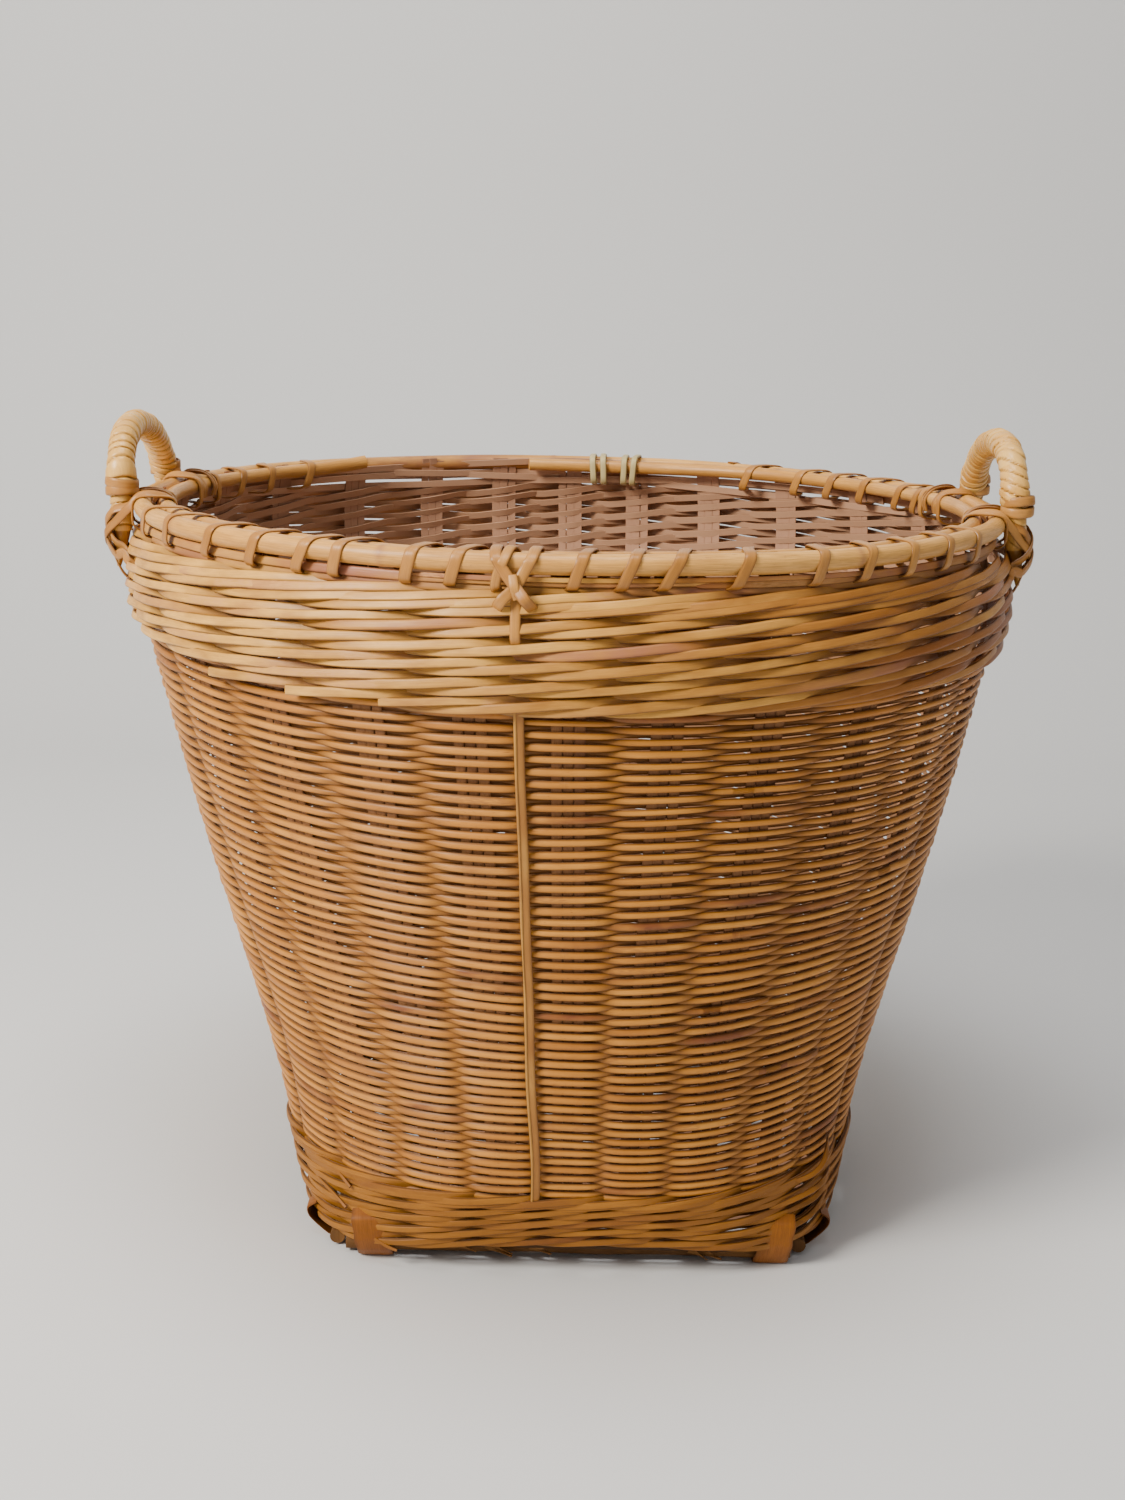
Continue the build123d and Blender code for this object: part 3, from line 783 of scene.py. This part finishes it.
def under_strip():
    """Lapped lengths of flat cane packed in under the outer rod."""
    bundle = Bundle()
    middle = (UNDER_Z[0] + UNDER_Z[1]) / 2
    for i, (start, end, shift, stand, share) in enumerate(UNDER_TURNS):
        wobble = Wander(25 + i, TAU, 8, 3)
        path, out, angle = ring_path(HOOP_R + 0.6 + stand, middle + shift, start, end, 480, wobble, 0.5)
        ends = np.clip(np.minimum(angle - start, end - angle) / 0.03, 0.3, 1)
        width = (UNDER_Z[1] - UNDER_Z[0]) * (1 + 0.14 * Wander(27 + i, TAU, 9, 8)(angle)) * ends * share
        tone = clamp(0.5 + 0.5 * Wander(28 + i, TAU, 9, 6)(angle))
        stain = np.clip(0.45 + 0.6 * Wander(29 + i, TAU, 9, 6)(angle), 0, 0.85)
        bundle.sweep(path, out + [0, 0, 0.2], width, 1.6, FLAT, tone, stain, 5.5 + i)
    bundle.build("rim_under_strip_cane", BAND, ["rim_under_strip"])


def around_rim(share, grow=0.0):
    """A point of the outline bound by the lashing: radius, height and outward direction."""
    low_r, high_r = INNER_R - INNER_ROD - 0.2 - grow, HOOP_R + HOOP_ROD + 0.2 + grow
    low_z, high_z = UNDER_Z[0] - 0.4 - grow, RIM_Z + HOOP_ROD + 0.2 + grow
    angle = TAU * np.asarray(share, float)
    half_r, half_z = (high_r - low_r) / 2, (high_z - low_z) / 2
    c, s = np.cos(angle), np.sin(angle)
    power = 4.2                # a superellipse's, between an oval and a box
    scale = (np.abs(c) ** power + np.abs(s) ** power) ** (-1 / power)
    r = (low_r + high_r) / 2 + half_r * c * scale
    z = (low_z + high_z) / 2 + half_z * s * scale
    nr = np.sign(c) * np.abs(c * scale) ** (power - 1) / half_r
    nz = np.sign(s) * np.abs(s * scale) ** (power - 1) / half_z
    size = np.hypot(nr, nz)
    return r, z, nr / size, nz / size


def rim_point(angle, share, grow=0.0):
    """A point on that outline at an angle of the rim, and its outward direction."""
    r, z, nr, nz = around_rim(share, grow)
    c, s = np.cos(angle), np.sin(angle)
    return np.stack([r * c, r * s, z + 0 * r], -1), np.stack([nr * c, nr * s, nz + 0 * nr], -1)


# Where each turn of the lashing crosses the rim, in columns from mid-front
FRONT_WRAPS = {
    "left": (-5.06, -4.37, -3.58, -2.95, -2.39, -2.03, -1.35, -0.95),
    "right": (0.08, 0.50, 0.87, 1.49, 2.23, 2.76, 3.32, 3.90, 4.51),
}
BACK_WRAPS = {
    "rear_right": (8.45, 8.87, 9.59, 10.18, 10.72, 11.5),
    "rear_left": (17.86, 18.55, 19.15),
}


def lashing():
    """Narrow cane wound round both rods in slanted, uneven turns."""
    rng = np.random.default_rng(31)
    for name, wraps in (FRONT_WRAPS | BACK_WRAPS).items():
        rear = name in BACK_WRAPS
        bundle = Bundle()
        share, column = [], []
        for i, here in enumerate(wraps):
            slant = rng.uniform(0.14, 0.34)
            after = wraps[i + 1] if i + 1 < len(wraps) else here + 0.5
            first = 0.22 if rear else -0.27
            t = np.linspace(0, 1, 30, endpoint=False)
            share.append(first + 0.57 * t + i)
            column.append(here + slant * (t - 0.5))
            share.append(first + 0.57 + 0.43 * t + i)
            column.append(here + slant / 2 + (after - here - slant) * t)
        share, column = np.concatenate(share), np.concatenate(column)
        path, out = rim_point(column_angle(0) + column * TAU / COLUMNS, share, 0.35)
        wobble = Wander(70, 40, 9, 3)
        tone = clamp(0.45 + 0.4 * wobble(column))
        width = 6.1 + 0.6 * wobble(column + 3)
        stain = np.clip(wobble(column * 2) - 0.3, 0, 0.5)
        bundle.sweep(path, out, width, 1.1, FLAT, tone, stain, rng.uniform(0, 9))
        bundle.build(f"rim_lashing_{name}", LASH, ["rim_lashing"])


# ---------------- Handles

LEG_R = 6.0
HANDLE_HALF = CORE_HIGH[1] - LEG_R
HANDLE_REACH = CORE_HIGH[0] - LEG_R
HANDLE_R = math.hypot(HANDLE_REACH, HANDLE_HALF)
LEG_BOTTOM = CORE_LOW[2]
CROWN_Z = 474.0
LEANS = {"left": 2.0, "right": -3.0}   # how far the crown leans out, in millimetres
WRAP_R = 7.9
BARE_FOOT = 21.0               # length of leg left unwound
TURN_PITCH = 5.5


def handle_points(side, lean, step):
    """Centre line of a handle, highest towards the front, and its sideways direction."""
    arch = [(1, LEG_BOTTOM - 16), (1, LEG_BOTTOM), (1, 427.0), (0.9, 442.0), (0.62, 455.5), (0.25, 464.0),
            (-0.15, 468.0), (-0.5, 467.0), (-0.8, 460.5), (-0.97, 448.0), (-1, 430.0), (-1, LEG_BOTTOM),
            (-1, LEG_BOTTOM - 16)]
    tip = math.atan2(lean, CROWN_Z - LEG_BOTTOM)
    points = []
    for share, z in arch:
        tuck = 1.6 if z > LEG_BOTTOM + 20 else 0.0
        x = HANDLE_REACH + (z - LEG_BOTTOM) * math.sin(tip) - tuck
        if z < LEG_BOTTOM:
            x = HANDLE_REACH + 2.2
        up = LEG_BOTTOM + (z - LEG_BOTTOM) * math.cos(tip)
        points.append((side * x, share * HANDLE_HALF, up))
    return smooth_path(points, step, int(40 / step)), np.array([side, 0.0, 0.0])


def handle_rod(bundle, path, out, run):
    """The bent rod inside the winding; its legs taper to thin feet."""
    along = np.minimum(run, run[-1] - run)[::8]
    thin = np.clip(along / 24, 0.0, 1)
    bundle.sweep(path[::8], out, 4.0 + 7.6 * thin ** 0.6, 2.2 + 9.2 * thin, ring_profile(16), 0.6, 0.2, 4.0)


def winding(bundle, side, path, out, run):
    """Slanted turns of cane with a groove between them, painted darker as shade, thicker near the ends."""
    sides = 30
    around = TAU * np.arange(sides) / sides
    rng = np.random.default_rng(77 + side)
    bend = 0.35 * Wander(88 + side, run[-1], 7, 3)(run)[:, None]
    phase = run[:, None] / TURN_PITCH + bend - 0.55 * np.sin(around[None] + 0.8) - around[None] / TAU
    turn = np.floor(phase).astype(int)
    inside = phase - turn
    step = rng.normal(0, 0.022, 400)[turn + 20]
    ridge = 1 - 0.20 * np.abs(2 * inside - 1) ** 9 - 0.05 * (0.5 - inside) + step
    foot = np.minimum(run, run[-1] - run)
    girth = np.interp(foot, [0, 14, 22, 27, 34, 40], [0.78, 0.84, 0.92, 1.08, 1.07, 1.0])
    ridge = ridge * girth[:, None]
    tones = rng.uniform(0.0, 0.75, 400)
    # Painted shade in the grooves between the turns
    groove = 1 - 0.9 * np.abs(2 * inside - 1) ** 12
    bundle.sweep(path, out, 2 * WRAP_R, 2 * WRAP_R, ring_profile(sides),
                 tones[turn[:, 0] + 20], 0.0, 6.0, swell=ridge, shade=groove)


def handle(name):
    side = -1 if name == "left" else 1
    path, out = handle_points(side, LEANS[name], 0.45)
    run = np.concatenate([[0], np.cumsum(np.linalg.norm(np.diff(path, axis=0), axis=1))])
    bundle = Bundle()
    handle_rod(bundle, path, out, run)
    bundle.build(f"handle_{name}_rod", RIM, [f"handle_{name}_core"])
    # The winding joins the same bundle, so its mesh also holds the rod
    keep = (run > BARE_FOOT) & (run < run[-1] - BARE_FOOT)
    winding(bundle, side, path[keep], out, run[keep] - BARE_FOOT)
    bundle.build(f"handle_{name}_winding", GRIP, [f"handle_{name}_wrap"])


def curve_through(knots, step=1.5):
    """Catmull-Rom curve through a few points."""
    p = np.asarray(knots, float)
    p = np.concatenate([[2 * p[0] - p[1]], p, [2 * p[-1] - p[-2]]])
    pieces = []
    for i in range(1, len(p) - 2):
        count = max(int(np.linalg.norm(p[i + 1] - p[i]) / step), 2)
        t = np.arange(count)[:, None] / count
        a, b, c, d = p[i - 1], p[i], p[i + 1], p[i + 2]
        square = (2 * a - 5 * b + 4 * c - d) * t ** 2
        cube = (3 * b - a - 3 * c + d) * t ** 3
        pieces.append(0.5 * (2 * b + (c - a) * t + square + cube))
    pieces.append(p[-2:-1])
    return np.concatenate(pieces)


def local_strip(bundle, angle, knots, centre, width, tone, seed, thick=1.0, sideways=0.6):
    """A strip through points given as (radius, sideways, height) at an angle of the rim."""
    line = curve_through(knots)
    c, s = math.cos(angle), math.sin(angle)
    turn = np.array([[c, s, 0], [-s, c, 0], [0, 0, 1]])
    away = line - np.array(centre)
    away[:, 1] *= sideways
    away[:, 2] *= np.where(away[:, 2] > 0, 1.0, 0.15)
    bundle.sweep(line @ turn, away @ turn, width, thick, FLAT, tone, 0.1, seed)


CROSSES = ((-1, 0, 0, 7.4), (1, 1.5, 1, 8.6), (-1, -7, 3.5, 8.2), (1, -6, 5, 9.2))   # side, up, spread, hug


def crossed_strips(bundle, middle, rng):
    """Four strips from inside the rim, over it and round the leg, two each way."""
    inner, outer = INNER_R - INNER_ROD - 1.2, HOOP_R + HOOP_ROD + 0.7
    top = RIM_Z + HOOP_ROD + 0.9
    for k, (s, shift, spread, hug) in enumerate(CROSSES):
        wide = 9.0 + spread
        knots = [(inner + 1.0, s * wide * 0.7, RIM_Z - 7), (inner, s * wide * 0.8, RIM_Z),
                 (inner + 6, s * wide * 0.9, top), (outer - 7, s * wide, top + 0.5 + k * 0.3),
                 (outer + 0.5, s * (wide + 0.5), top - 5)]
        for step in range(7):
            t = math.radians(s * (66 - 22 * step))
            z = RIM_Z - 3 + shift - 3.0 * step
            knots.append((HANDLE_R + hug * math.cos(t), hug * math.sin(t), z))
        drop = shift * 0.4 + RIM_Z
        knots.append((outer + 5.5, -s * (wide - 1), drop - 23))
        knots.append((outer + 3.5, -s * (wide + 2), drop - 27))
        knots.append((outer - 1.0, -s * (wide + 3), drop - 30))
        centre = (HANDLE_R - 6, 0, RIM_Z - 6)
        local_strip(bundle, middle, knots, centre, 5.6, rng.uniform(0.2, 0.8), k * 3.3, 1.2)


def turns_beside(bundle, middle, rng):
    """One turn round both rods on each side of the leg."""
    for s in (-1, 1):
        turn = np.linspace(-0.3, 0.75, 40)
        path, out = rim_point(middle + s * (13.5 + turn * 3) / HOOP_R, turn, 0.9)
        bundle.sweep(path, out, 5.2, 1.2, FLAT, rng.uniform(0.2, 0.7), 0.0, 30 + s)


def collar(bundle, middle, rng):
    """Two rings round the leg, just above the rim."""
    hug = WRAP_R + 0.9
    reach = HANDLE_R - 1.2
    for k in range(2):
        z = RIM_Z + 8.0 + 5.0 * k
        ring = [(reach + hug * math.cos(a), hug * math.sin(a), z + 1.2 * math.sin(a + 2 * k))
                for a in np.linspace(0, TAU * 1.02, 19)]
        local_strip(bundle, middle, ring, (reach, 0, z), 5.6, rng.uniform(0.1, 0.5), 20 + k, 1.4, 1.0)


def tail(bundle, middle):
    """The end of the binding, down the outside of the band."""
    knots = [(HANDLE_R + 7.6, 3, RIM_Z - 10), (HANDLE_R + 6.6, 1.5, RIM_Z - 20),
             (HANDLE_R + 3.6, 0, RIM_Z - 31), (HANDLE_R + 0.6, 0, RIM_Z - 38),
             (HANDLE_R - 2.5, 0, RIM_Z - 42)]
    local_strip(bundle, middle, knots, (HANDLE_R - 45, 0, RIM_Z - 15), 5.0, 0.6, 40, 1.3, 0.1)


def bindings():
    """Strips crossed over the foot of each handle leg and round the rim beside it."""
    rng = np.random.default_rng(53)
    leg_angle = math.asin(HANDLE_HALF / HANDLE_R)
    for name, side in (("left", -1), ("right", 1)):
        for place, end in (("front", -1), ("rear", 1)):
            middle = (0 if side > 0 else math.pi) + end * side * leg_angle
            bundle = Bundle()
            crossed_strips(bundle, middle, rng)
            turns_beside(bundle, middle, rng)
            collar(bundle, middle, rng)
            tail(bundle, middle)
            node = f"handle_{name}_binding_{place}"
            bundle.build(f"handle_{name}_lashing_{place}", LASH, [node])


# ---------------- Knots and ribs

def cross_strip(bundle, angle, knots, width, tone, seed, thick=1.2):
    """A strip on the front of the rim and band, through (sideways, height, radius) points."""
    line = curve_through(knots, 0.8)
    turn = angle + line[:, 0] / HOOP_R
    out = np.stack([np.cos(turn), np.sin(turn), 0.12 + 0 * turn], -1)
    path = out * line[:, 2:3]
    path[:, 2] = line[:, 1]
    above = clamp((line[:, 1] - RIM_Z - 1) / 5)[:, None]
    bundle.sweep(path, unit(out + above * [0, 0, 2.5]), width, thick, FLAT, tone, 0.05, seed)


def front_knot():
    """Two strips crossed in a diamond over the rim, two short ones and a tail down the band."""
    bundle = Bundle()
    angle = column_angle(true_column(RIB_COLUMNS["front"]))
    far = HOOP_R + HOOP_ROD
    top = RIM_Z + HOOP_ROD + 1.0
    band = 262.3               # the band's outer face there
    for s, lift, wide in ((1, 0.7, 9.0), (-1, 2.0, 11.5)):
        knots = [(s * (wide + 1), RIM_Z - 2, INNER_R - INNER_ROD - 1.0), (s * wide, top - 0.8, INNER_R),
                 (s * wide * 0.92, top + 0.2, HOOP_R - 2),
                 (s * wide * 0.8, RIM_Z + 3.4, far + 0.2 + lift * 0.5),
                 (s * wide * 0.45, RIM_Z - 3, far + 1.0 + lift), (0.3, RIM_Z - 10, far + 3.0 + lift),
                 (-s * 5.0, RIM_Z - 15.5, band + lift), (-s * 7.5, RIM_Z - 19, band - 0.4),
                 (-s * 8.5, RIM_Z - 21, band - 4)]
        cross_strip(bundle, angle, knots, 5.6, 0.45 - 0.15 * s, 2.0 + s)
    over = [(-2.0, top - 3.0, INNER_R - 2), (-3.5, top + 0.9, HOOP_R - 3), (-5.5, RIM_Z + 2.5, far + 2.0),
            (-8.5, RIM_Z - 5, far + 1.4), (-9.5, RIM_Z - 11, far + 0.4), (-9.0, RIM_Z - 13, far - 3)]
    cross_strip(bundle, angle, over, 5.0, 0.3, 7.0)
    patch = [(-1.2, RIM_Z - 4.5, far + 3.6), (0.0, RIM_Z - 10, far + 6.2), (1.6, RIM_Z - 15.5, far + 5.4)]
    cross_strip(bundle, angle, patch, 4.6, 0.15, 8.0)
    z = np.linspace(RIM_Z - 13, RIM_Z - 38, 26)
    drop = clamp((z - (RIM_Z - 38)) / 4)
    stand = upper_proud(z) - 2.6 + 3.2 * drop
    path, out = on_wall(true_column(RIB_COLUMNS["front"]) + 0 * z, z, stand)
    bundle.sweep(path, out, 5.2, 1.5, FLAT, 0.4, 0.0, 9.0)
    bundle.build("knot_front_strips", LASH, ["knot_front"])


def back_knot():
    """Two double ties of greenish cane round both rods, near an end of the inner one."""
    bundle = Bundle()
    for i, column in enumerate((13.68, 13.55, 13.27, 13.13)):
        share = np.linspace(0.05, 0.99, 60)
        angle = column_angle(column) + 0.004 * np.sin(6 * share + i)
        path, out = rim_point(angle, share, 1.2 + 0.3 * (i % 2))
        bundle.sweep(path, out, 4.4, 1.6, FLAT, 0.2 + 0.1 * i, 0.0, 2.0 + i)
    bundle.build("knot_back_ties", TIE, ["knot_back"])


def ribs():
    """Long split canes up the outside, each with a raised edge on one side."""
    for i, (name, column) in enumerate(RIB_COLUMNS.items()):
        bundle = Bundle()
        z = np.arange(UPPER_Z[0] + 7, LOWER_Z[1] - 7, -4.0)
        wobble = Wander(140 + i, 400, 4, 1)
        column_here = true_column(column) + 0.018 * wobble(z)
        path, out = on_wall(column_here, z, 0.8 + 0.3 * wobble(z + 90))
        side = np.cross(unit(np.gradient(path, axis=0)), out)
        tone = clamp(0.5 + 0.3 * wobble(z * 3))
        bundle.sweep(path, out, 4.9, 1.3, FLAT, tone, 0.15, 3.0 + i, twist=0.06 * wobble(z + 40))
        edge = path + side * 1.9 + out * 0.75
        bundle.sweep(edge, out, 1.5 + 0.3 * wobble(z * 2), 0.9, HALF_ROUND, 0.0, 0.0, 9.0 + i)
        bundle.build(f"rib_{name}_cane", RIB, [f"rib_{name}"])


# ---------------- Base

STRAP_SHIFT = {"front_a": 6.0}   # nearer the middle than its twin


def face_at(across, z):
    """How far out the wall's face is at a sideways distance from the middle of a side."""
    half = wall(z)
    corner = half * corner_share(z)
    past = np.clip(across - (half - corner), 0, corner)
    return half - corner + np.sqrt(corner ** 2 - past ** 2)


def base_rod(name, number, spin, rng):
    """A dark rod with a few peeling bits of bark."""
    low, high = box_mm(f"base_rod_{name}")
    half = max(high[0] - low[0], high[1] - low[1]) / 2
    bundle = Bundle()
    x = np.linspace(-half, half, 90)
    wobble = Wander(200 + number, 500, 8, 3)
    path = np.stack([x, -BASE_ROD_AT + 0.4 * wobble(x), BASE_ROD_Z + 0.4 * wobble(x + 90)], -1)
    size = 2 * BASE_ROD * (0.95 + 0.05 * wobble(x + 50))
    tone = clamp(0.5 + 0.4 * wobble(x))
    bundle.sweep(path @ spin + [BASE_X, 0, 0], [0, 0, 1.0], size, size, ring_profile(16), tone, 0.3,
                 5.0 + number)
    t = np.linspace(0, 1, 14)
    away = np.array([0, -1.0, 0.2]) @ spin
    for k in range(6):
        at = rng.uniform(-0.85, 0.85) * half
        along = at + 12 * t + rng.uniform(-4, 4) * t
        face = -BASE_ROD_AT - BASE_ROD - 0.2 - 4.5 * t ** 2
        curl = np.stack([along, face, BASE_ROD_Z + 1.5 - (4.2 - 0.5 * k) * t], -1)
        bundle.sweep(curl @ spin + [BASE_X, 0, 0], away, 4.2 - 2.6 * t, 0.7, FLAT, 0.05, 0.0, 9.0 + k,
                     twist=1.4 * t * (-1) ** k)
    bundle.build(f"base_rod_{name}_cane", DARK, [f"base_rod_{name}"])


def strap(name, number, end, tag, spin, rng):
    """A strip folded under the rod and up over the foot of the lower band."""
    bundle = Bundle()
    wide_side = name in ("front", "back")
    near_y, far_y = BASE_ROD_AT - BASE_ROD - 0.9, BASE_ROD_AT + BASE_ROD + 0.9
    top = 30.0 if wide_side else 19.0
    tuck = 0.0 if wide_side else 8.0
    place = end * (STRAP_AT - tuck) + STRAP_SHIFT.get(f"{name}_{tag}", 0.0)
    heights = np.array([8.5, 0.35 * top + 6, 0.7 * top + 2, top, top + 4])
    faces = face_at(abs(place), heights) + [1.2, 3.2, 4.0, 3.9, -2.5]
    fold = [(0, -near_y, 11), (0, -near_y, 0.7), (0, -far_y, 0.7)]
    fold += [(0, -max(face, far_y + 0.3), z) for face, z in zip(faces, heights)]
    line = smooth_path(fold, 0.8, 6)
    line[:, 0] += place - end * 0.10 * (12 - line[:, 2])
    away = np.gradient(line, axis=0)[:, [0, 2, 1]] * [0, -1, 1]
    width = STRAP_WIDTH * (1 + 0.03 * np.sin(line[:, 2] * 0.5))
    tone = rng.uniform(0.2, 0.8)
    bundle.sweep(line @ spin + [BASE_X, 0, 0], away @ spin, width, 1.3, FLAT, tone, 0.1,
                 3.0 * number + end)
    bundle.build(f"strap_{name}_{tag}_cane", STRAP, [f"strap_{name}_{tag}"])


def base():
    rng = np.random.default_rng(91)
    for number, name in enumerate(("front", "right", "back", "left")):
        turn = number * math.pi / 2
        c, s = math.cos(turn), math.sin(turn)
        spin = np.array([[c, s, 0], [-s, c, 0], [0, 0, 1]])
        base_rod(name, number, spin, rng)
        for end, tag in ((-1, "a"), (1, "b")):
            strap(name, number, end, tag, spin, rng)


# ---------------- Stage

def plain(name, colour, roughness):
    material = bpy.data.materials.new(name)
    material.use_nodes = True
    shader = material.node_tree.nodes["Principled BSDF"]
    shader.inputs["Base Color"].default_value = (*colour, 1)
    shader.inputs["Roughness"].default_value = roughness
    return material


def stage():
    """A pale floor that sweeps up into a plain backdrop."""
    bend, back, side, top = 0.7, 1.0, 6.0, 4.0
    curve = [(-6.0, 0.0), (0.0, 0.0)]
    for angle in np.linspace(0, math.pi / 2, 25):
        curve.append((back + bend * math.sin(angle), bend - bend * math.cos(angle)))
    curve.append((back + bend, top))
    points = [(x, y, z) for y, z in curve for x in (-side, side)]
    faces = [(2 * i, 2 * i + 1, 2 * i + 3, 2 * i + 2) for i in range(len(curve) - 1)]
    mesh = bpy.data.meshes.new("floor")
    mesh.from_pydata(points, [], faces)
    mesh.shade_smooth()
    mesh.materials.append(plain("floor_pale", (0.70, 0.69, 0.67), 0.75))
    floor = bpy.data.objects.new("floor", mesh)
    bpy.context.scene.collection.objects.link(floor)
    world = bpy.data.worlds.new("studio")
    world.use_nodes = True
    world.node_tree.nodes["Background"].inputs[0].default_value = (0.92, 0.95, 1.0, 1)
    world.node_tree.nodes["Background"].inputs[1].default_value = 0.31
    bpy.context.scene.world = world


def area_light(name, place, target, size, power, colour):
    data = bpy.data.lights.new(name, "AREA")
    data.shape = "SQUARE"
    data.size = size
    data.energy = power
    data.color = colour
    light = bpy.data.objects.new(name, data)
    light.location = place
    light.rotation_euler = (Vector(target) - Vector(place)).to_track_quat("-Z", "Y").to_euler()
    bpy.context.scene.collection.objects.link(light)


def lights():
    area_light("key", (-1.7, -1.35, 1.7), (0, 0, 0.25), 0.8, 100, (1.0, 0.955, 0.885))
    area_light("fill", (1.9, -1.4, 1.0), (0, 0, 0.25), 1.8, 3, (1.0, 0.93, 0.85))
    area_light("top", (-0.1, -0.35, 2.3), (0, 0.3, 0.3), 1.0, 34, (0.97, 0.98, 1.0))


def camera():
    pitch = math.radians(14.25)
    roll = math.radians(1.26)
    forward = Vector((0, math.cos(pitch), -math.sin(pitch)))
    right = Vector((1, 0, 0))
    up = right.cross(forward)
    side = math.cos(roll) * right + math.sin(roll) * up
    top = -math.sin(roll) * right + math.cos(roll) * up
    data = bpy.data.cameras.new("camera")
    data.lens = 44.2
    data.sensor_width = 36
    lens = bpy.data.objects.new("camera", data)
    axes = Matrix((side, top, -forward)).transposed()
    lens.matrix_world = Matrix.Translation((-0.0011, -1.112, 0.5536)) @ axes.to_4x4()
    bpy.context.scene.collection.objects.link(lens)
    bpy.context.scene.camera = lens


camera()
stage()
lights()
side_weave()
upper_wale()
lower_wale()
strays()
splints()
outer_rod()
inner_rod()
under_strip()
lashing()
for side_name in ("left", "right"):
    handle(side_name)
bindings()
front_knot()
back_knot()
ribs()
base()
